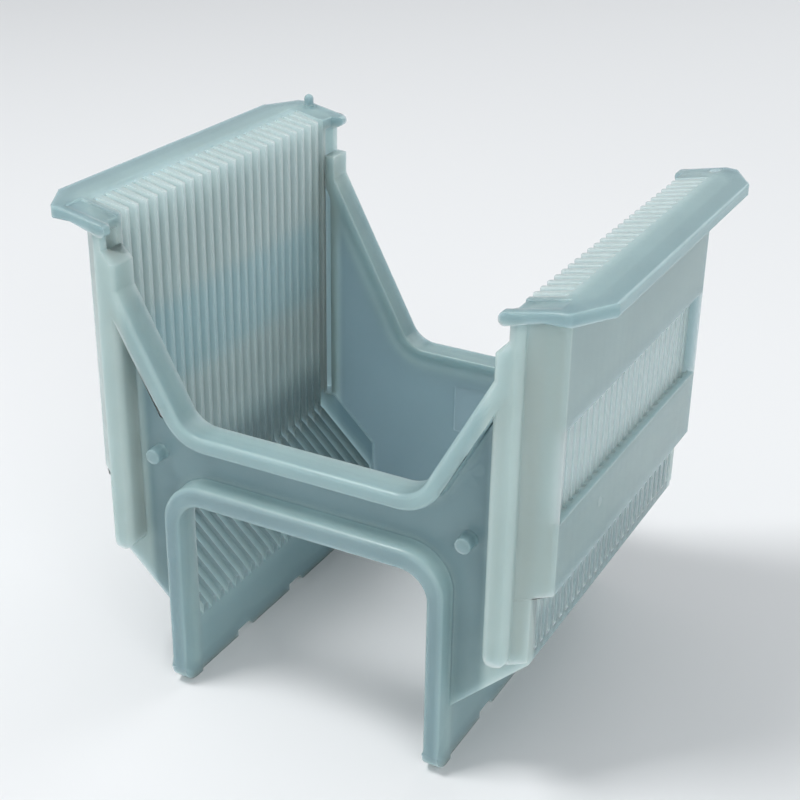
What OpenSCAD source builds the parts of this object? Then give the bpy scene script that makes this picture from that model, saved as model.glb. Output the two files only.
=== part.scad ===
// Open wafer cassette: one injection moulding in PFA.
// X runs across the wafers, Y along the row of wafers, Z up from the leg rails.
// The near end (-Y) has the high crossbar and the arch, the far end (+Y) the low one.

/* [Wafers] */
// Diameter of the wafers that the cassette holds
wafer_d = 150; // [148:0.5:152]
// Number of wafers, one for each pair of slots
slot_count = 25; // [15:2:25]
// Distance between the middles of two neighbouring slots
slot_pitch = 4.7625; // [4.6:0.0125:5]
// Gap between a wafer's edge and the floor of its slot, at each side
side_clearance = 1.5; // [1:0.1:2]
// Width of a slot at its floor
slot_floor_w = 1.9; // [1.6:0.1:2.2]
// Width of an upright slot between the tips of its teeth
slot_mouth_w = 3.1; // [2.8:0.1:3.2]
// Width of a sloping slot between the tips of its teeth
slope_mouth_w = 2.6; // [2.4:0.1:2.7]
// How far the slots reach into the upright walls
tooth_depth = 10.5; // [9:0.5:12]
// How far the slots reach into the sloping walls
slope_tooth_depth = 2.6; // [2:0.1:4]
// Chamfer on the edges of the tooth tips
tooth_tip_cut = 0.3; // [0.1:0.1:0.4]

/* [Side walls] */
// Height of the whole cassette, without its pin
body_h = 160.3; // [155:0.1:170]
// Thickness of the moulded walls
wall_t = 2.45; // [2:0.05:3]
// Angle between the sloping walls and the floor
slope_angle = 43.8; // [42:0.1:46]
// Height at which the sloping walls leave the legs
slope_foot_z = 21; // [18:0.1:25]
// Height of the step between the upper wall and the lower band
step_z = 69.1; // [62:0.1:76]
// How far the lower band stands back from the upper wall
step_in = 5.15; // [3:0.05:6]
// Lower edge of the window band, a long recess that opens all slots to the outside
window_z = 92.2; // [85:0.1:100]
// Height of the window band
window_h = 28.6; // [15:0.1:40]
// Depth of the window band, a little more than the wall's thickness
window_in = 3.2; // [3:0.1:4]
// Wall left between the last slot's middle and the wall's upright corner
end_land = 1.55; // [1.4:0.05:2]
// How far the end lands reach in from the floor of the sloping slots
end_land_depth = 8.7; // [4:0.1:10]

/* [Legs] */
// Distance between the inner faces of the leg rails
leg_gap = 89.2; // [84:0.2:92]
// Thickness of a leg rail
leg_t = 3.6; // [3:0.1:4]
// Number of locating notches under a rail
notch_count = 3; // [1:1:3]
// Distance between the locating notches
notch_pitch = 33.4; // [28:0.1:36]
// Distance from the middle of the cassette back to the first notch
notch_start = 36.4; // [32:0.1:40]
// Length of a notch
notch_l = 9.2; // [6:0.1:12]
// Depth of a notch
notch_depth = 2.4; // [1.5:0.1:3]
// Length of the ramp at a notch's far end
notch_ramp = 2.5; // [1:0.1:4]

/* [Flanges] */
// Width over both top flanges
flange_w = 181.2; // [176:0.2:190]
// Thickness of a flange
flange_t = 4.1; // [3:0.1:5]
// Width of the flat strip along a flange's outer edge
flange_flat_w = 11.6; // [9:0.1:13]
// Fall of the flange's top from that strip to the tooth tips, in degrees
flange_fall = 12; // [8:0.5:15]
// How far a flange stands out past the end frames
flange_overhang = 1.2; // [0.5:0.1:3]
// Chamfer of a flange's outer corners, across the cassette
corner_cut_x = 8.2; // [5:0.1:10]
// Chamfer of a flange's outer corners, along the cassette
corner_cut_y = 13.9; // [8:0.1:18]
// How far the end lips reach in past the tooth tips
lip_reach = 3.1; // [2:0.1:5]
// Length of an end lip, along the cassette
lip_l = 6; // [4:0.1:8]
// Depth of the sunk patch on the flanges' near ends
patch_depth = 0.8; // [0.3:0.1:1.5]
// Radius on the long edges of a flange's outer side
flange_r = 0.8; // [0.4:0.1:1.5]
// Diameter of the pin on the left flange's far end
pin_d = 3.4; // [3:0.1:3.6]
// Height of the pin, with its round top
pin_h = 3.6; // [2.5:0.1:5]
// Diameter of the pin's seat, which is level with the flange's flat strip
pin_seat_d = 4.5; // [4.1:0.1:4.7]
// Diameter of the hole in the right flange's far end
pin_hole_d = 3.8; // [3.6:0.1:4.4]
// How far the pin and the hole stand in from the flanges' flat strips
pin_in = 2.5; // [1:0.1:4]
// Distance from the pin and the hole to the flanges' far edge
pin_back = 4; // [3:0.1:6]

/* [End frames] */
// Thickness of the end webs
web_t = 2.4; // [2:0.1:3]
// Gap between the face of an end land and the web behind it
land_step = 1; // [0.5:0.1:1.5]
// How far the rims stand out from the webs
rim_depth = 7.7; // [6:0.1:10]
// Width of the rim along the V-shaped opening
rim_w = 5.3; // [4:0.1:7]
// Height of the near crossbar's top
near_bar_z = 94.7; // [88:0.1:105]
// Height of the far crossbar's top
far_bar_z = 76.3; // [70:0.1:90]
// Half width of the V-shaped opening at the near crossbar's top
vee_half_w = 39.3; // [37:0.1:42]
// Sideways run of the V's edge for each millimetre of height
vee_run = 0.537; // [0.5:0.005:0.58]
// Radius in the V's lower corners
vee_r = 10; // [5:0.5:14]
// Height of the shoulders beside the V
shoulder_z = 144.4; // [140:0.1:148]
// How far the corner posts stand in past the tooth tips
post_reach = 4.3; // [3:0.1:5]
// Width of a corner post
post_w = 8; // [7.5:0.1:9]
// Thickness of a corner post's inner side
post_side_t = 1.8; // [1.5:0.1:2.4]
// Thickness of a corner post's front
post_front_t = 2.8; // [2:0.1:3.5]
// Underside of the corner posts
post_z = 47; // [45:0.1:55]
// Radius on the edges of a corner post's front
post_r = 2.2; // [1:0.1:2.5]
// Radius at the sides of a corner post's round foot
post_foot_r = 3.7; // [2:0.1:3.7]
// How far a corner post stands out from the slanting strip beside it
post_proud = 3.2; // [2:0.1:4]
// Height of the arch between the near legs
arch_z = 70; // [62:0.1:76]
// Radius in the arch's corners
arch_r = 9; // [5:0.5:14]
// Width of the rim over the arch
arch_rim_w = 6.8; // [5:0.1:8]
// Width of the rim down the near legs
leg_rim_w = 5.3; // [5:0.1:7]
// How far the arch's rim stands in past the leg rails
arch_lip = 0.9; // [0.5:0.1:2]
// Underside of the far web between the legs
far_web_z = 10; // [5:0.5:15]
// Width of the shallow plate recess on the far web's inner face
plate_w = 20.6; // [16:0.2:26]
// Height of the plate recess
plate_h = 18.2; // [12:0.2:22]
// Lower edge of the plate recess
plate_z = 46.8; // [40:0.2:48]
// Depth of the plate recess
plate_depth = 0.3; // [0.2:0.1:0.5]
// Diameter of the round bosses
boss_d = 5; // [3:0.1:8]
// How far a boss stands out from the web
boss_h = 5.2; // [3:0.1:6]
// Distance of a boss from the middle of the cassette
boss_x = 53.6; // [51:0.1:55]
// Height of the bosses
boss_z = 82.2; // [80:0.1:85]

/* [Hidden] */
$fn = 48;

// Sloping wall: rise for a sideways run, and upright height of a thickness
rise = tan(slope_angle);
stretch = 1 / cos(slope_angle);

// Upright planes across the cassette, as distances from its middle
floor_x = wafer_d / 2 + side_clearance;
tip_x = floor_x - tooth_depth;
wall_x = floor_x + wall_t;
band_x = wall_x - step_in;
post_x = tip_x - post_reach;
lip_x = tip_x - lip_reach;
flange_x = flange_w / 2;
flat_x = flange_x - flange_flat_w;
pin_x = flat_x - pin_in;
leg_x = leg_gap / 2;
leg_outer_x = leg_x + leg_t;
arch_x = leg_x - arch_lip;

// Upright planes along the cassette, as distances from its middle
rack_y = (slot_count - 1) / 2 * slot_pitch;
land_y = rack_y + slot_floor_w / 2;
corner_y = rack_y + end_land;
web_y = land_y + land_step;
web_front_y = web_y + web_t;
rim_y = web_front_y + rim_depth;
flange_y = rim_y + flange_overhang;

// Levels
flange_z = body_h - flange_t;
pocket_z = post_z + web_t;

// Slanting strip beside a corner post: its run in plan, and the thickness
// of its wall measured along the cassette
strip_run = (rim_y - post_proud - corner_y) / (wall_x - post_x - post_w);
strip_t = wall_t * sqrt(1 + strip_run * strip_run);

// What a cutter runs past the faces that it opens
past = 1;

// Height of the sloping wall at a distance x from the middle: its outer
// face, the floor of its slots, the tips of its teeth and its end lands
function slope_z(x) = slope_foot_z + (x - leg_outer_x) * rise;
function slope_floor_z(x) = slope_z(x) + wall_t * stretch;
function slope_tip_z(x) = slope_floor_z(x) + slope_tooth_depth * stretch;
function slope_land_z(x) = slope_floor_z(x) + end_land_depth * stretch;

// Height of a flange's top at a distance x from the middle
function top_z(x) = body_h - max(0, flat_x - x) * tan(flange_fall);

// Half width of the V at a height z, and its height at a half width x
function vee_x(z) = vee_half_w + (z - near_bar_z) * vee_run;
function vee_z(x) = near_bar_z + (x - vee_half_w) / vee_run;

// Distance of the slanting strip from the middle, outside and inside
function strip_y(x) = corner_y + (wall_x - x) * strip_run;
function strip_inner_y(x) = strip_y(x) - strip_t;
function strip_inner_x(y) = wall_x - (y + strip_t - corner_y) / strip_run;

// Direction from one point to another
function toward(p, q) = (q - p) / norm(q - p);

// Direction square to u, away from v
function away(u, v) = toward(v, u * (u * v));

// Cutter for a round of radius r in the sharp corner b, between the edges
// from b to a and from b to c. It runs past both edges
module corner_piece(a, b, c, r) {
    u = toward(b, a);
    v = toward(b, c);
    half_angle = acos(u * v) / 2;
    middle_line = (u + v) / norm(u + v) / sin(half_angle);
    middle = b + middle_line * r;
    difference() {
        polygon([
            b - middle_line * past,
            middle + away(u, v) * (r + past),
            middle,
            middle + away(v, u) * (r + past),
        ]);
        translate(middle) circle(r);
    }
}

// Polygon with a radius for each of its outward corners. Zero leaves a
// corner sharp
module rounded(points, radii) {
    n = len(points);
    difference() {
        polygon(points);
        for (i = [0 : n - 1]) if (radii[i] > 0)
            corner_piece(points[(i + n - 1) % n], points[i], points[(i + 1) % n], radii[i]);
    }
}

// Section across the cassette, run along it from y0 to y1
module along(y0, y1) {
    translate([0, y1, 0]) rotate([90, 0, 0]) linear_extrude(y1 - y0) children();
}

// Plan, run upwards from z0 to z1
module upright(z0, z1) {
    translate([0, 0, z0]) linear_extrude(z1 - z0) children();
}

module both_sides() {
    children();
    mirror([1, 0, 0]) children();
}

module both_ends() {
    children();
    mirror([0, 1, 0]) children();
}

// Section of the leg, sloping wall, lower band, upper wall and teeth
module rack_section() {
    polygon([
        [leg_x, 0],
        [leg_outer_x, 0],
        [leg_outer_x, slope_foot_z],
        [band_x, slope_z(band_x)],
        [band_x, step_z],
        [wall_x, step_z],
        [wall_x, flange_z + past],
        [flat_x - past, top_z(flat_x - past)],
        [tip_x, top_z(tip_x)],
        [tip_x, slope_tip_z(tip_x)],
        [leg_x, slope_tip_z(leg_x)],
    ]);
}

// Row of slots in plan, with their floors at zero, and their mouths at
// depth between chamfered tooth tips. The outermost flanks are flat
module slot_row(depth, mouth_w) {
    intersection() {
        for (i = [0 : slot_count - 1]) translate([0, i * slot_pitch - rack_y]) polygon([
            [0, -slot_floor_w / 2],
            [0, slot_floor_w / 2],
            [depth - tooth_tip_cut, mouth_w / 2],
            [depth, mouth_w / 2 + tooth_tip_cut],
            [depth + past, mouth_w / 2 + tooth_tip_cut],
            [depth + past, -mouth_w / 2 - tooth_tip_cut],
            [depth, -mouth_w / 2 - tooth_tip_cut],
            [depth - tooth_tip_cut, -mouth_w / 2],
        ]);
        translate([-past, -land_y]) square([depth + 3 * past, 2 * land_y]);
    }
}

// Slots of the upright wall, open at the top. They stop on the sloping
// floor, so they come out through the lower band, which stands back
module upright_slots() {
    intersection() {
        upright(slope_foot_z, body_h + past)
            translate([floor_x, 0]) mirror([1, 0]) slot_row(tooth_depth, slot_mouth_w);
        along(-land_y - past, land_y + past) polygon([
            [tip_x - 2 * past, slope_floor_z(tip_x - 2 * past)],
            [floor_x + past, slope_floor_z(floor_x + past)],
            [floor_x + past, body_h + past],
            [tip_x - 2 * past, body_h + past],
        ]);
    }
}

// Slots of the sloping wall, which run out over the leg's inner face
module slope_slots() {
    start_x = tip_x + slope_tooth_depth;
    translate([start_x, 0, slope_floor_z(start_x)]) rotate([0, -90 - slope_angle, 0])
        linear_extrude((start_x - leg_x + past + slope_tooth_depth) * stretch)
            slot_row(slope_tooth_depth, slope_mouth_w);
}

// Window band: a long recess from outside, just deeper than the wall, so
// that every slot opens into it between the backs of the teeth
module window_band() {
    translate([wall_x - window_in, -land_y, window_z])
        cube([window_in + past, 2 * land_y, window_h]);
}

// Locating notches under a leg, upright at the near end of each and
// ramped at the far end
module leg_notches() {
    translate([leg_x - past, 0, 0]) rotate([90, 0, 90]) linear_extrude(leg_t + 2 * past)
        for (i = [0 : notch_count - 1]) translate([i * notch_pitch - notch_start, 0]) polygon([
            [0, -past],
            [0, notch_depth],
            [notch_l - notch_ramp, notch_depth],
            [notch_l, 0],
            [notch_l, -past],
        ]);
}

// One side wall with its leg, before the slots are cut
module side_wall() {
    difference() {
        along(-web_y, web_y) rack_section();
        leg_notches();
        both_ends() translate([band_x, land_y, 0])
            cube([2 * step_in, web_y, body_h]);
    }
}

// Top flange with a lip at each end, before the slots are cut
module flange() {
    lip_r = flange_t * 0.45;
    intersection() {
        along(-flange_y, flange_y) rounded([
            [lip_x, top_z(lip_x) - flange_t],
            [flat_x - flange_t, flange_z],
            [flange_x, flange_z],
            [flange_x, body_h],
            [flat_x, body_h],
            [lip_x, top_z(lip_x)],
        ], [lip_r, 0, flange_r, flange_r, 0, lip_r]);
        upright(0, body_h + past) polygon([
            [flange_x - corner_cut_x, -flange_y],
            [flange_x, corner_cut_y - flange_y],
            [flange_x, flange_y - corner_cut_y],
            [flange_x - corner_cut_x, flange_y],
            [lip_x, flange_y],
            [lip_x, flange_y - lip_l / 2],
            [tip_x, flange_y - lip_l],
            [tip_x, land_y],
            [tip_x, -land_y],
            [tip_x, lip_l - flange_y],
            [lip_x, lip_l / 2 - flange_y],
            [lip_x, -flange_y],
        ]);
    }
}

// Opening between the posts, above a crossbar whose top is at bar_z. It is
// wider by grow all round, and its shoulders are chamfered by cut
module vee(bar_z, cut, grow) {
    low_z = bar_z - grow;
    wider = grow * sqrt(1 + vee_run * vee_run);
    low_x = vee_x(low_z) + wider;
    side_x = post_x + grow;
    bend_z = vee_z(side_x - wider);
    rounded([
        [-low_x, low_z],
        [low_x, low_z],
        [side_x, bend_z],
        [side_x, shoulder_z],
        [tip_x + grow, shoulder_z + cut],
        [tip_x + grow, body_h],
        [-tip_x - grow, body_h],
        [-tip_x - grow, shoulder_z + cut],
        [-side_x, shoulder_z],
        [-side_x, bend_z],
    ], [vee_r + grow, vee_r + grow, 0, 0, 0, 0, 0, 0, 0, 0]);
}

// Opening between the near legs, wider by grow at the sides and by
// grow_top at the top
module arch(grow, grow_top) {
    x = arch_x + grow;
    rounded([[-x, -past], [x, -past], [x, arch_z + grow_top], [-x, arch_z + grow_top]],
        [0, 0, arch_r + grow, arch_r + grow]);
}

// Outline of an end web, down to the slopes and legs
module web_outline() {
    side_x = post_x + post_side_t;
    polygon([
        [-leg_outer_x, 0],
        [leg_outer_x, 0],
        [leg_outer_x, slope_foot_z],
        [band_x, slope_z(band_x)],
        [band_x, pocket_z],
        [side_x, pocket_z],
        [side_x, flange_z],
        [-side_x, flange_z],
        [-side_x, pocket_z],
        [-band_x, pocket_z],
        [-band_x, slope_z(band_x)],
        [-leg_outer_x, slope_foot_z],
    ]);
}

// Lower part of an end land, along the sloping wall
module slope_land() {
    land_top_x = leg_x + (pocket_z - slope_land_z(leg_x)) / rise;
    along(-web_y - past, -land_y) polygon([
        [leg_x, slope_z(leg_x)],
        [band_x, slope_z(band_x)],
        [band_x, pocket_z],
        [land_top_x, pocket_z],
        [leg_x, slope_land_z(leg_x)],
    ]);
}

// Plan of a corner: post, slanting strip and end land, where the side
// wall's outer face is at side_x
module corner_plan(side_x) {
    rounded([
        [post_x, -web_y],
        [post_x, -rim_y],
        [post_x + post_w, -rim_y],
        [post_x + post_w, -strip_y(post_x + post_w)],
        [side_x, -strip_y(side_x)],
        [side_x, -land_y + past],
        [side_x - wall_t, -land_y + past],
        [side_x - wall_t, -land_y],
        [tip_x, -land_y],
        [tip_x, -web_y],
    ], [0, post_r, post_r, 0, 0, 0, 0, 0, 0, 0]);
}

// Plan of the hollow between a corner post and the end land. It opens to
// the inside through the gap beside the post
module corner_hollow(side_x) {
    front_y = rim_y - post_front_t;
    back_y = land_y + web_t;
    back_x = min(strip_inner_x(back_y), side_x - wall_t);
    polygon([
        [post_x + post_side_t, past - web_y],
        [post_x + post_side_t, -front_y],
        [strip_inner_x(front_y), -front_y],
        [back_x, -strip_inner_y(back_x)],
        [back_x, -back_y],
        [tip_x, -back_y],
        [tip_x, past - web_y],
    ]);
}

// Hollow corner between an end web and a side wall
module corner() {
    difference() {
        union() {
            upright(post_z, step_z + wall_t) corner_plan(band_x);
            upright(step_z, flange_z + past) corner_plan(wall_x);
        }
        upright(pocket_z, step_z + wall_t) corner_hollow(band_x);
        upright(step_z + wall_t, flange_z) corner_hollow(wall_x);
        post_foot();
    }
}

// What the round foot leaves out of a corner post. The outer side is round
// only where the post stands out past the slanting strip
module post_foot() {
    inner = [post_x, post_z];
    outer = [post_x + post_w, post_z];
    up = [0, post_w];
    along(-rim_y - past, -web_front_y) corner_piece(inner + up, inner, outer, post_foot_r);
    along(-rim_y - past, post_proud - rim_y) corner_piece(outer + up, outer, inner, post_foot_r);
}

// What both end frames share, around a crossbar whose top is at bar_z
module end_frame(bar_z, cut) {
    difference() {
        union() {
            along(-web_front_y, -web_y) web_outline();
            along(-rim_y, -web_y) intersection() {
                vee(bar_z, cut, rim_w);
                square([2 * (post_x + post_w / 2), 2 * shoulder_z + 2 * cut], center = true);
            }
            both_sides() {
                corner();
                slope_land();
            }
        }
        along(-rim_y - past, -land_y + past) vee(bar_z, cut, 0);
    }
}

// Round boss on the near web
module boss() {
    translate([boss_x, -web_y, boss_z]) rotate([90, 0, 0]) cylinder(h = web_t + boss_h, d = boss_d);
}

// Near end: high crossbar, arch with its rim, and bosses
module near_end() {
    difference() {
        union() {
            end_frame(near_bar_z, post_reach);
            along(-rim_y, -web_y) arch(leg_rim_w, arch_rim_w);
            both_sides() boss();
        }
        along(-rim_y - past, past - land_y) arch(0, 0);
        leg_toes();
        translate([0, -rim_y, -past]) cube([4 * wall_x, 4 * rim_y, 2 * past], center = true);
    }
}

// What the round toes leave out of the rims down the near legs
module leg_toes() {
    translate([-wall_x, 0, 0]) rotate([90, 0, 90]) linear_extrude(2 * wall_x)
        corner_piece([-rim_y, rim_depth], [-rim_y, 0], [0, 0], rim_depth);
}

// Far end: low crossbar over a web that closes the end, with a plain
// plate recess inside
module far_end() {
    mirror([0, 1, 0]) difference() {
        end_frame(far_bar_z, 0);
        translate([-leg_x, -rim_y - past, -past]) cube([leg_gap, rim_y, far_web_z + past]);
        translate([-plate_w / 2, -web_y - plate_depth, plate_z])
            cube([plate_w, plate_depth + past, plate_h]);
    }
}

// Sunk patch across the top of a flange's near end, open to the inside
module patch() {
    inner_x = lip_x - past;
    along(lip_l / 2 - flange_y, -web_y - past) polygon([
        [inner_x, top_z(inner_x) - patch_depth],
        [flat_x, body_h - patch_depth],
        [flat_x, body_h + past],
        [inner_x, body_h + past],
    ]);
}

// Round-topped pin on its level seat, on the left flange's far end
module pin() {
    pin_r = pin_d / 2;
    translate([-pin_x, flange_y - pin_back, body_h]) {
        translate([0, 0, pin_h - pin_r]) sphere(pin_r);
        cylinder(h = pin_h - pin_r, r = pin_r);
        translate([0, 0, -flange_t / 2]) cylinder(h = flange_t / 2, d = pin_seat_d);
    }
}

// Hole through the right flange's far end, for the pin of a turned cassette
module pin_hole() {
    translate([pin_x, flange_y - pin_back, body_h - flange_t - past])
        cylinder(h = flange_t + 2 * past, d = pin_hole_d);
}

module wafer_cassette() {
    color("#c3d5da") difference() {
        union() {
            both_sides() {
                side_wall();
                flange();
            }
            near_end();
            far_end();
            pin();
        }
        both_sides() {
            upright_slots();
            slope_slots();
            window_band();
            patch();
        }
        pin_hole();
    }
}

wafer_cassette();
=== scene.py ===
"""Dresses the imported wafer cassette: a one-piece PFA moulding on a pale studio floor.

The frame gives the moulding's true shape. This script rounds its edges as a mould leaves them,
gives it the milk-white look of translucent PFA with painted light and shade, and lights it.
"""

from __future__ import annotations

import logging
import math
from dataclasses import dataclass
from enum import Enum

import bmesh
import bpy
from mathutils import Euler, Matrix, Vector
from mathutils.bvhtree import BVHTree

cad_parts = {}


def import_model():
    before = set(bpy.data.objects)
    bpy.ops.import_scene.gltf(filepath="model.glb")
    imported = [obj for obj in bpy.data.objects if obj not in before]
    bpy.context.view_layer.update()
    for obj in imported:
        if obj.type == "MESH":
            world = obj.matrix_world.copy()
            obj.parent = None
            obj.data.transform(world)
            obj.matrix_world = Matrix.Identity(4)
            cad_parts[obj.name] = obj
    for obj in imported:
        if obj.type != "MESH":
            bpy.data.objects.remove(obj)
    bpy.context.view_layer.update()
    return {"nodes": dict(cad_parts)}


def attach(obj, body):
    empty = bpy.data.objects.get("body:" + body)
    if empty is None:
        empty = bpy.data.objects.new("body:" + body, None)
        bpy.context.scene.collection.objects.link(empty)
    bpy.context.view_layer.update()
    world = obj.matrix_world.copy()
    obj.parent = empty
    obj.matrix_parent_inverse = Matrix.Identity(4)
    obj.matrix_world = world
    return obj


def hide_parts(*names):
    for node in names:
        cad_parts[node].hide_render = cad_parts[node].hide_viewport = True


log = logging.getLogger("wafer_cassette")

MM = 0.001
BODY = "root"
NODE = "wafer_cassette"

Colour = tuple[float, float, float, float]
Triple = tuple[float, float, float]
Span = tuple[float, float]
Socket = bpy.types.NodeSocket
Edge = bmesh.types.BMEdge
Face = bmesh.types.BMFace


class Side(Enum):
    """The side of a surface on which the finish looks for what lies near.

    The value is the setting of the Ambient Occlusion node.
    """

    SOLID = True
    AIR = False


class NodeGraph:
    """A small helper that adds nodes to a node tree and joins them."""

    # A Mix node repeats its sockets' names for each type of data, so colours go by number.
    MIX_INPUTS = (0, 6, 7)
    MIX_RESULT = 2

    def __init__(self, tree: bpy.types.NodeTree) -> None:
        """Starts on an emptied tree.

        Args:
            tree: the node tree that the nodes go into.
        """
        self.tree = tree
        tree.nodes.clear()

    def add(self, kind: str, **settings: object) -> bpy.types.Node:
        """Adds a node and sets its properties and unlinked inputs.

        Args:
            kind: the node's type name.
            settings: property names, or input names with their spaces as underscores.

        Returns:
            The new node.
        """
        node = self.tree.nodes.new(kind)
        for name, value in settings.items():
            if hasattr(node, name):
                setattr(node, name, value)
            else:
                node.inputs[name.replace("_", " ")].default_value = value
        return node

    def join(self, source: Socket, target: Socket) -> None:
        """Links one socket to another."""
        self.tree.links.new(source, target)

    def stretch(self, source: Socket, low: float, high: float) -> Socket:
        """Turns a value from 0 to 1 into one from low to high.

        Args:
            source: the value's socket.
            low: what 0 becomes.
            high: what 1 becomes.

        Returns:
            The socket of the new value.
        """
        node = self.add("ShaderNodeMapRange", To_Min=low, To_Max=high)
        self.join(source, node.inputs["Value"])
        return node.outputs["Result"]

    def share(self, source: Socket, start: float, end: float) -> Socket:
        """Tells how far a value is on its smooth way from a start to an end.

        Args:
            source: the value's socket.
            start: the value that gives 0.
            end: the value that gives 1.

        Returns:
            The socket of the share.
        """
        node = self.add("ShaderNodeMapRange", From_Min=start, From_Max=end)
        node.interpolation_type = "SMOOTHSTEP"
        self.join(source, node.inputs["Value"])
        return node.outputs["Result"]

    def times(self, first: Socket, second: Socket) -> Socket:
        """Multiplies two values.

        Args:
            first: the socket of one value.
            second: the socket of the other.

        Returns:
            The socket of their product.
        """
        node = self.add("ShaderNodeMath", operation="MULTIPLY")
        self.join(first, node.inputs[0])
        self.join(second, node.inputs[1])
        return node.outputs["Value"]

    def tinted(self, colour: Socket, tint: Socket) -> Socket:
        """Multiplies a colour by another one.

        Args:
            colour: the colour's socket.
            tint: the socket of the colour or the value that it is multiplied by.

        Returns:
            The socket of the tinted colour.
        """
        node = self.add("ShaderNodeVectorMath", operation="MULTIPLY")
        self.join(colour, node.inputs[0])
        self.join(tint, node.inputs[1])
        return node.outputs["Vector"]

    def mix(self, share: Socket, first: Socket | Colour, second: Socket | Colour) -> Socket:
        """Mixes two colours.

        Args:
            share: the socket that says how much of the second colour shows.
            first: the socket of the first colour, or the colour itself.
            second: the socket of the second colour, or the colour itself.

        Returns:
            The socket of the mixed colour.
        """
        node = self.add("ShaderNodeMix", data_type="RGBA")
        factor, start, end = (node.inputs[number] for number in self.MIX_INPUTS)
        self.join(share, factor)
        for socket, colour in ((start, first), (end, second)):
            if isinstance(colour, bpy.types.NodeSocket):
                self.join(colour, socket)
            else:
                socket.default_value = colour
        return node.outputs[self.MIX_RESULT]


@dataclass(frozen=True)
class Region:
    """A soft-edged box in millimetres, mirrored to all four quarters of the cassette."""

    x: Span
    y: Span
    z: Span
    blur: Triple

    def share(self, graph: NodeGraph, place: Socket) -> Socket:
        """Tells how far inside the box a point lies.

        Args:
            graph: the material's nodes.
            place: the Object coordinates.

        Returns:
            The socket of a value from 0, outside, to 1, inside.
        """
        parts = graph.add("ShaderNodeSeparateXYZ")
        graph.join(place, parts.inputs["Vector"])
        inside = None
        for axis, limits, blur in zip("XYZ", (self.x, self.y, self.z), self.blur):
            offset = graph.add("ShaderNodeMath", operation="ABSOLUTE")
            graph.join(parts.outputs[axis], offset.inputs[0])
            for limit, side in zip(limits, (1, -1)):
                start, end = ((limit + step * blur) * MM for step in (-side, side))
                one = graph.share(offset.outputs["Value"], start, end)
                inside = one if inside is None else graph.times(inside, one)
        return inside


@dataclass(frozen=True)
class PaintedShade:
    """A painted shade: a colour that the finish is multiplied by inside a region."""

    region: Region
    colour: Colour


# From inside, the wall is painted bluer and darker along the slots' window, where it is
# thinner: a painted shade for the dark that shows through it.
WINDOW_PAINTED_SHADE = PaintedShade(
    Region(x=(58, 74), y=(-10, 57), z=(92, 121), blur=(3, 2, 5)),
    (0.84, 0.94, 1.0, 1.0),
)
# The outsides of the side walls are painted a little darker: a painted shade for sides that
# face away from the light.
WALL_PAINTED_SHADE = PaintedShade(
    Region(x=(79.2, 95), y=(-10, 58), z=(20, 157), blur=(0.5, 1.5, 3)),
    (0.82, 0.90, 0.90, 1.0),
)
# So is the front of the arch's rim: a painted shade for a face that gets less light than the
# tops, which lets it melt into the web behind it.
ARCH_PAINTED_SHADE = PaintedShade(
    Region(x=(-10, 53), y=(68.6, 80), z=(-10, 79), blur=(2, 0.8, 2)),
    (0.77, 0.79, 0.82, 1.0),
)


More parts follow.
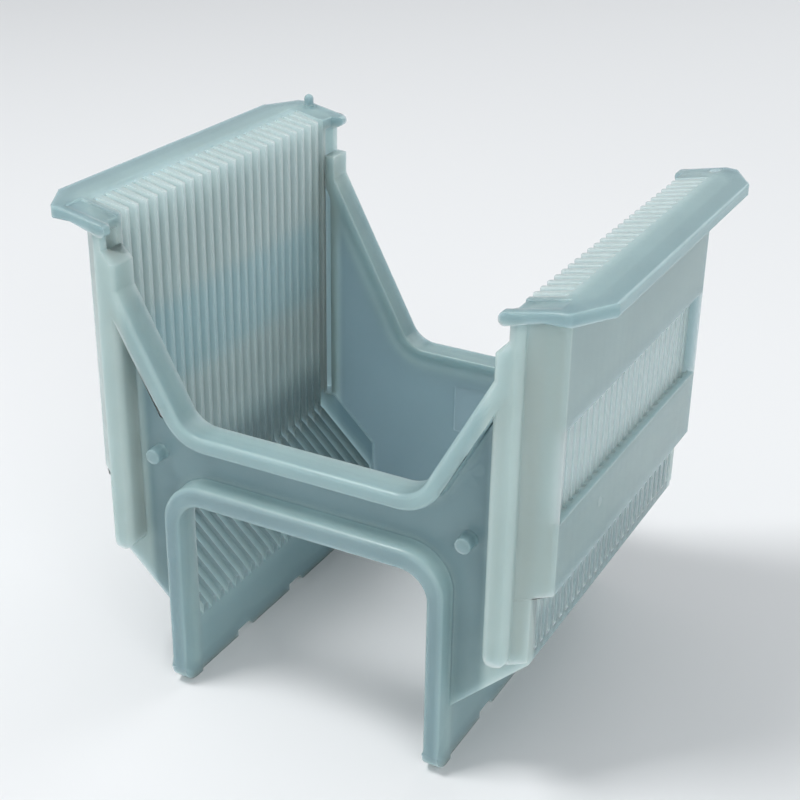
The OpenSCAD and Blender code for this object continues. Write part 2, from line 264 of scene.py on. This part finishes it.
@dataclass(frozen=True)
class PfaFinish:
    """Natural PFA: milk-white and translucent, pale where it is thick and cool where it is
    thin; the cool, darker colour of thin walls is a painted shade for the dark seen through
    them.
    """

    name: str = "pfa_natural"
    refraction: float = 1.35
    milkiness: float = 1.0
    glow_depth: float = 14 * MM
    glow_spread: Triple = (0.9, 1.0, 1.1)
    # Painted shade: thin walls get this darker, cooler colour for the dark seen through them.
    thin: Colour = (0.14, 0.215, 0.23, 1.0)
    body: Colour = (0.275, 0.385, 0.385, 1.0)
    thick: Colour = (0.35, 0.465, 0.465, 1.0)
    # This colour is a painted light: narrow grooves and inner corners are made lighter,
    # standing in for light scattered into them.
    groove_painted_light: Colour = (0.62, 0.76, 0.75, 1.0)
    # This colour is a painted light: the rack inside the cassette is made lighter, standing in
    # for light that passes through the translucent walls.
    teeth_painted_light: Colour = (0.41, 0.55, 0.56, 1.0)
    post: Colour = (0.38, 0.49, 0.48, 1.0)
    plain: Colour = (1.0, 1.0, 1.0, 1.0)
    wall_depth: float = 7 * MM
    wall_stops: Triple = (0.05, 0.35, 0.7)
    wall_samples: int = 2
    groove_depth: float = 5 * MM
    groove_ends: Span = (0.12, 0.55)
    groove_samples: int = 3
    rack: Region = Region(x=(58, 77.5), y=(-10, 57.5), z=(63, 165), blur=(3, 2, 8))
    posts: Region = Region(x=(59.5, 95), y=(58.5, 80), z=(-10, 154), blur=(2, 1.5, 3))
    painted_shades: tuple[PaintedShade, ...] = (WINDOW_PAINTED_SHADE, WALL_PAINTED_SHADE, ARCH_PAINTED_SHADE)
    noise_detail: float = 2.0
    noise_roughness: float = 0.5
    cloud_scale: float = 40.0
    cloud_brightness: Span = (0.92, 1.08)
    roughness: Span = (0.20, 0.30)
    grain_scale: float = 1400.0
    grain_height: float = 0.010 * MM
    sink_scale: float = 55.0
    sink_height: float = 0.12 * MM
    relief_strength: float = 1.0

    def material(self) -> bpy.types.Material:
        """Builds the material.

        Returns:
            The new material, with its patterns on Object coordinates.
        """
        made = bpy.data.materials.new(self.name)
        made.use_nodes = True
        graph = NodeGraph(made.node_tree)
        out = graph.add("ShaderNodeOutputMaterial")
        shader = graph.add(
            "ShaderNodeBsdfPrincipled",
            IOR=self.refraction,
            Subsurface_Weight=self.milkiness,
            Subsurface_Scale=self.glow_depth,
            Subsurface_Radius=self.glow_spread,
        )
        graph.join(shader.outputs["BSDF"], out.inputs["Surface"])
        place = graph.add("ShaderNodeTexCoord").outputs["Object"]
        clouds = self._noise(graph, place, self.cloud_scale)
        graph.join(self._colour(graph, place, clouds), shader.inputs["Base Color"])
        graph.join(graph.stretch(clouds, *self.roughness), shader.inputs["Roughness"])
        graph.join(self._relief(graph, place), shader.inputs["Normal"])
        return made

    def _noise(self, graph: NodeGraph, place: Socket, scale: float) -> Socket:
        """Adds an even noise.

        Args:
            graph: the material's nodes.
            place: the Object coordinates.
            scale: how many of its waves go into a metre.

        Returns:
            The noise, from 0 to 1.
        """
        noise = graph.add(
            "ShaderNodeTexNoise",
            Scale=scale,
            Detail=self.noise_detail,
            Roughness=self.noise_roughness,
        )
        graph.join(place, noise.inputs["Vector"])
        return noise.outputs["Fac"]

    def _openness(self, graph: NodeGraph, side: Side, distance: float, samples: int) -> Socket:
        """Looks how much room there is around each point of the surface.

        Args:
            graph: the material's nodes.
            side: the side of the surface that is searched.
            distance: how far the search goes.
            samples: how many ways it tries.

        Returns:
            The socket of a value from 0, where it is closed in, to 1, where it is open.
        """
        search = graph.add("ShaderNodeAmbientOcclusion", inside=side.value, samples=samples)
        search.inputs["Distance"].default_value = distance
        return search.outputs["AO"]

    def _wall_colour(self, graph: NodeGraph) -> Socket:
        """Picks the colour from the thickness of the wall; the darker, cooler colour of thin
        walls is a painted shade for the dark seen through them.

        Args:
            graph: the material's nodes.

        Returns:
            The socket of the colour.
        """
        ramp = graph.add("ShaderNodeValToRGB")
        elements = ramp.color_ramp.elements
        elements.remove(elements[1])
        colours = (self.thin, self.body, self.thick)
        for number, (position, colour) in enumerate(zip(self.wall_stops, colours)):
            stop = elements[0] if number == 0 else elements.new(position)
            stop.position = position
            stop.color = colour
        depth = self._openness(graph, Side.SOLID, self.wall_depth, self.wall_samples)
        graph.join(depth, ramp.inputs["Fac"])
        return ramp.outputs["Color"]

    def _colour(self, graph: NodeGraph, place: Socket, clouds: Socket) -> Socket:
        """Mixes the colour from the wall's thickness, a painted light in grooves and inner
        corners, a painted light on the rack, the posts' colour, the painted shades of three
        regions, and faint clouds.

        Args:
            graph: the material's nodes.
            place: the Object coordinates.
            clouds: a slow noise over the whole moulding.

        Returns:
            The socket of the colour.
        """
        around = self._openness(graph, Side.AIR, self.groove_depth, self.groove_samples)
        openness = graph.share(around, *self.groove_ends)
        wall = self._wall_colour(graph)
        # Painted light on the rack: inside its region this lighter colour replaces the wall's.
        with_rack = graph.mix(self.rack.share(graph, place), wall, self.teeth_painted_light)
        with_posts = graph.mix(self.posts.share(graph, place), with_rack, self.post)
        # Painted light: where the surface is closed in, the lighter painted-light colour takes
        # over.
        colour_with_painted_light = graph.mix(openness, self.groove_painted_light, with_posts)
        # Painted shades: each region's colour darkens or cools the finish inside it.
        for tint in self.painted_shades:
            inside = tint.region.share(graph, place)
            colour_with_painted_light = graph.tinted(colour_with_painted_light, graph.mix(inside, self.plain, tint.colour))
        return graph.tinted(colour_with_painted_light, graph.stretch(clouds, *self.cloud_brightness))

    def _relief(self, graph: NodeGraph, place: Socket) -> Socket:
        """Adds the fine spark grain of the mould and the slow waves of shrinkage.

        Args:
            graph: the material's nodes.
            place: the Object coordinates.

        Returns:
            The socket of the normal.
        """
        strength = self.relief_strength
        waves = graph.add("ShaderNodeBump", Strength=strength, Distance=self.sink_height)
        graph.join(self._noise(graph, place, self.sink_scale), waves.inputs["Height"])
        grain = graph.add("ShaderNodeBump", Strength=strength, Distance=self.grain_height)
        graph.join(self._noise(graph, place, self.grain_scale), grain.inputs["Height"])
        graph.join(waves.outputs["Normal"], grain.inputs["Normal"])
        return grain.outputs["Normal"]


@dataclass(frozen=True)
class Zone:
    """A box in millimetres, mirrored to all four quarters, whose edges stay crisp."""

    x: Span
    y: Span
    z: Span

    def holds(self, edge: Edge) -> bool:
        """Tells whether both ends of an edge lie in the zone.

        Args:
            edge: an edge of the moulding.

        Returns:
            True if it lies in the zone.
        """
        return all(
            self.x[0] * MM <= abs(vert.co.x) <= self.x[1] * MM
            and self.y[0] * MM <= abs(vert.co.y) <= self.y[1] * MM
            and self.z[0] * MM <= vert.co.z <= self.z[1] * MM
            for vert in edge.verts
        )


RACK = Zone(x=(0, 79.2), y=(0, 58.2), z=(20, 165))
TOOTH_TIPS = Zone(x=(65.4, 66.6), y=(0, 59), z=(0, 165))
END_LIPS = Zone(x=(0, 67.2), y=(62, 75), z=(150, 165))
UNDER_LIPS = Zone(x=(60, 72), y=(62, 75), z=(145, 156.5))
POST_FEET = Zone(x=(60, 71), y=(61, 75), z=(0, 51.2))
LEG_TOES = Zone(x=(42, 50.5), y=(66, 70.6), z=(0, 8))


@dataclass(frozen=True)
class EdgePlan:
    """Gives each edge of the moulding the radius that its two faces have room for."""

    edge_radius: float = 0.4 * MM
    rim_radius: float = 1.6 * MM
    rim_y: float = 69.18 * MM
    least_radius: float = 0.15 * MM
    least_length: float = 0.3 * MM
    room_share: float = 0.3
    end_share: float = 0.45
    least_sine: float = 0.2
    chain_cosine: float = -0.9
    sharp_angle: float = math.radians(20)
    flat_angle: float = math.radians(0.5)
    most_sides: int = 4
    end_facing: float = 0.99
    reach: float = 50 * MM
    lift: float = 0.02 * MM
    short_edge: float = 2 * MM
    short_stations: tuple[float, ...] = (0.5,)
    stations: tuple[float, ...] = (0.15, 0.5, 0.85)
    rail: float = 60 * MM
    crisp: tuple[Zone, ...] = (TOOTH_TIPS, END_LIPS, UNDER_LIPS, POST_FEET, LEG_TOES)

    def apply(self, shape: bmesh.types.BMesh) -> int:
        """Writes the radii as bevel weights, each a share of the rims' radius.

        Args:
            shape: the welded mesh of the moulding.

        Returns:
            How many edges are rounded.
        """
        # The layer comes first, because adding it would lose the edges held in a set.
        layer = shape.edges.layers.float.new("bevel_weight_edge")
        shape.normal_update()
        tree = BVHTree.FromBMesh(shape)
        corners = {edge for edge in shape.edges if self._is_sharp(edge)}
        rounded = 0
        for edge in shape.edges:
            edge.smooth = edge not in corners
        for edge in corners:
            radius = self._radius(edge, corners, tree)
            if radius >= self.least_radius:
                edge[layer] = radius / self.rim_radius
                edge.smooth = True
                rounded += 1
        self._merge_flats(shape, layer)
        return rounded

    def _is_sharp(self, edge: Edge) -> bool:
        """Tells whether two faces meet at a corner in an edge."""
        return len(edge.link_faces) == 2 and edge.calc_face_angle() > self.sharp_angle

    def _is_flat(self, edge: Edge) -> bool:
        """Tells whether an edge only divides a flat."""
        return len(edge.link_faces) == 2 and edge.calc_face_angle() < self.flat_angle

    def _is_crisp(self, edge: Edge) -> bool:
        """Tells whether an edge stays sharp whatever room it has.

        Args:
            edge: a sharp edge.

        Returns:
            True if it is tiny or in a crisp zone. In the rack, a long rail is rounded.
        """
        length = edge.calc_length()
        if length < self.least_length:
            return True
        if length < self.rail and RACK.holds(edge):
            return True
        return any(zone.holds(edge) for zone in self.crisp)

    def _radius(self, edge: Edge, corners: set[Edge], tree: BVHTree) -> float:
        """Works out the radius that an edge gets.

        Args:
            edge: a sharp edge.
            corners: all the sharp edges.
            tree: the moulding's faces, to look for what lies across each face.

        Returns:
            The radius in metres, or 0 where the edge stays crisp.
        """
        if self._is_crisp(edge):
            return 0.0
        outward = edge.calc_face_angle_signed() > 0
        on_rim = outward and all(abs(vert.co.y) > self.rim_y for vert in edge.verts)
        wanted = self.rim_radius if on_rim else self.edge_radius
        room = min(self._width(edge, face, tree) for face in edge.link_faces)
        return min(wanted, self.room_share * room, self._end_room(edge, corners))

    def _width(self, edge: Edge, face: Face, tree: BVHTree) -> float:
        """Measures how far a flat runs from one of its edges, just above and below it.

        Args:
            edge: the edge to start from.
            face: one of the edge's faces.
            tree: the moulding's faces.

        Returns:
            The shortest way in metres, or the reach where nothing is in the way.
        """
        start, end = (vert.co for vert in edge.verts)
        inwards = face.normal.cross((end - start).normalized())
        if (face.calc_center_median() - (start + end) / 2).dot(inwards) < 0:
            inwards.negate()
        is_short = edge.calc_length() < self.short_edge
        shortest = self.reach
        for station in self.short_stations if is_short else self.stations:
            for side in (self.lift, -self.lift):
                origin = start.lerp(end, station) + inwards * self.lift + face.normal * side
                distance = tree.ray_cast(origin, inwards, self.reach)[3]
                if distance is not None:
                    shortest = min(shortest, distance + self.lift)
        return shortest

    def _end_room(self, edge: Edge, corners: set[Edge]) -> float:
        """Measures how far an edge's rounding may run along the sharp edges at its ends.

        Args:
            edge: the edge to be rounded.
            corners: all the sharp edges.

        Returns:
            The largest radius in metres.
        """
        room = self.reach
        for vert in edge.verts:
            along = (edge.other_vert(vert).co - vert.co).normalized()
            for other in vert.link_edges:
                if other is edge or other not in corners:
                    continue
                cosine = along.dot((other.other_vert(vert).co - vert.co).normalized())
                if cosine >= self.chain_cosine:
                    sine = max(math.sqrt(max(0.0, 1.0 - cosine * cosine)), self.least_sine)
                    room = min(room, self.end_share * other.calc_length() * sine)
        return room

    def _merge_flats(self, shape: bmesh.types.BMesh, layer: bmesh.types.BMLayerItem) -> None:
        """Joins the triangles of each flat that a rounding runs along.

        A face with many sides stays whole only where it faces one of the two ends.

        Args:
            shape: the welded mesh of the moulding.
            layer: the layer of the bevel weights.
        """
        flats = {face for edge in shape.edges if edge[layer] > 0 for face in edge.link_faces}
        waiting = list(flats)
        while waiting:
            for edge in waiting.pop().edges:
                if self._is_flat(edge):
                    fresh = [face for face in edge.link_faces if face not in flats]
                    flats.update(fresh)
                    waiting.extend(fresh)
        inner = [
            edge
            for edge in shape.edges
            if self._is_flat(edge) and flats.issuperset(edge.link_faces)
        ]
        bmesh.ops.dissolve_limit(shape, angle_limit=self.flat_angle, verts=[], edges=inner)
        many_sided = [
            face
            for face in shape.faces
            if len(face.verts) > self.most_sides and abs(face.normal.y) < self.end_facing
        ]
        bmesh.ops.triangulate(shape, faces=many_sided, ngon_method="BEAUTY")


@dataclass
class Moulding:
    """The visible cassette: the frame's solid with the rounded edges of a moulding."""

    plan: EdgePlan = EdgePlan()
    steps: int = 3
    weld: float = 0.002 * MM

    def build(self, cad: bpy.types.Object, finish: PfaFinish) -> bpy.types.Object:
        """Makes the rounded copy of the CAD node and puts it in the node's place.

        Args:
            cad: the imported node, which stays as it is.
            finish: the finish of the whole moulding.

        Returns:
            The new piece.
        """
        mesh = cad.data.copy()
        piece = bpy.data.objects.new("moulding", mesh)
        bpy.context.scene.collection.objects.link(piece)
        rounded = self._plan_edges(mesh)
        self._round(piece)
        piece.data.materials.clear()
        piece.data.materials.append(finish.material())
        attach(piece, BODY)
        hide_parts(NODE)
        log.info("%s: %d edges rounded", piece.name, rounded)
        return piece

    def _plan_edges(self, mesh: bpy.types.Mesh) -> int:
        """Welds the mesh and writes the radius of each edge into it.

        Args:
            mesh: the mesh, which is changed.

        Returns:
            How many edges will be rounded.
        """
        shape = bmesh.new()
        shape.from_mesh(mesh)
        bmesh.ops.remove_doubles(shape, verts=shape.verts, dist=self.weld)
        rounded = self.plan.apply(shape)
        for face in shape.faces:
            face.smooth = True
        shape.to_mesh(mesh)
        shape.free()
        return rounded

    def _round(self, piece: bpy.types.Object) -> None:
        """Rounds the weighted edges and keeps the flats flat in their shading.

        Args:
            piece: the object whose mesh is rounded and replaced.
        """
        bevel = piece.modifiers.new("round", "BEVEL")
        bevel.width = self.plan.rim_radius
        bevel.segments = self.steps
        bevel.limit_method = "WEIGHT"
        bevel.use_clamp_overlap = False
        bevel.loop_slide = False
        bevel.miter_outer = "MITER_SHARP"
        normals = piece.modifiers.new("normals", "WEIGHTED_NORMAL")
        normals.keep_sharp = True
        graph = bpy.context.evaluated_depsgraph_get()
        rounded = bpy.data.meshes.new_from_object(piece.evaluated_get(graph))
        piece.modifiers.clear()
        piece.data = rounded


@dataclass(frozen=True)
class Lamp:
    """A square white lamp, with its side in metres and its power in watts."""

    name: str
    place: Triple
    side: float
    power: float

    def hang(self, aim: Triple) -> None:
        """Hangs the lamp in the studio.

        Args:
            aim: the point that the lamp faces.
        """
        light = bpy.data.lights.new(self.name, "AREA")
        light.shape = "SQUARE"
        light.size = self.side
        light.energy = self.power
        lamp = bpy.data.objects.new(self.name, light)
        bpy.context.scene.collection.objects.link(lamp)
        lamp.location = self.place
        way = Vector(aim) - lamp.location
        lamp.rotation_euler = way.to_track_quat("-Z", "Y").to_euler()


@dataclass(frozen=True)
class Studio:
    """The pale floor, the soft lamps and the camera."""

    floor_half: float = 6.0
    floor_colour: Colour = (0.80, 0.81, 0.82, 1.0)
    floor_roughness: float = 0.7
    world_colour: Colour = (0.95, 0.975, 1.0, 1.0)
    world_strength: float = 0.55
    lamps: tuple[Lamp, ...] = (
        Lamp("key", (-0.5, -0.45, 1.45), side=0.45, power=13.5),
        Lamp("fill", (1.3, -1.0, 0.7), side=0.9, power=8.0),
        Lamp("back", (0.3, 1.4, 1.1), side=1.0, power=5.0),
    )
    lamp_aim: Triple = (0.0, 0.0, 0.08)
    azimuth: float = math.radians(27.82)
    elevation: float = math.radians(26.0)
    roll: float = math.radians(0.92)
    stand: Triple = (0.20732, -0.39666, 0.30517)
    lens_mm: float = 68.0
    sensor_mm: float = 36.0

    def build(self) -> None:
        """Makes the floor, the world, the lamps and the camera."""
        self._floor()
        self._world()
        for lamp in self.lamps:
            lamp.hang(self.lamp_aim)
        self._camera()

    def _floor(self) -> None:
        """Lays the plain pale floor."""
        half = self.floor_half
        mesh = bpy.data.meshes.new("floor")
        corners = [(-half, -half, 0), (half, -half, 0), (half, half, 0), (-half, half, 0)]
        mesh.from_pydata(corners, [], [(0, 1, 2, 3)])
        floor = bpy.data.objects.new("floor", mesh)
        bpy.context.scene.collection.objects.link(floor)
        material = bpy.data.materials.new("floor")
        material.use_nodes = True
        shader = material.node_tree.nodes["Principled BSDF"]
        shader.inputs["Base Color"].default_value = self.floor_colour
        shader.inputs["Roughness"].default_value = self.floor_roughness
        mesh.materials.append(material)

    def _world(self) -> None:
        """Fills the studio with an even pale light."""
        world = bpy.data.worlds.new("studio")
        bpy.context.scene.world = world
        world.use_nodes = True
        back = world.node_tree.nodes["Background"]
        back.inputs["Color"].default_value = self.world_colour
        back.inputs["Strength"].default_value = self.world_strength

    def _camera(self) -> None:
        """Sets the camera at the object's viewing angle."""
        lens = bpy.data.cameras.new("camera")
        lens.lens = self.lens_mm
        lens.sensor_width = self.sensor_mm
        camera = bpy.data.objects.new("camera", lens)
        bpy.context.scene.collection.objects.link(camera)
        turn = Euler((math.pi / 2 - self.elevation, 0.0, self.azimuth)).to_matrix()
        camera.rotation_euler = (turn @ Euler((0.0, 0.0, self.roll)).to_matrix()).to_euler()
        camera.location = self.stand
        bpy.context.scene.camera = camera


def main() -> None:
    """Loads the frame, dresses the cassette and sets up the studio."""
    logging.basicConfig(level=logging.INFO, format="%(name)s: %(message)s")
    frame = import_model()
    piece = Moulding().build(frame["nodes"][NODE], PfaFinish())
    log.info("%s: %d faces, in the place of %s", piece.name, len(piece.data.polygons), NODE)
    studio = Studio()
    studio.build()
    log.info("studio: floor, %d lamps and camera", len(studio.lamps))
    bpy.context.scene.view_settings.view_transform = "Standard"


if __name__ == "__main__":
    main()
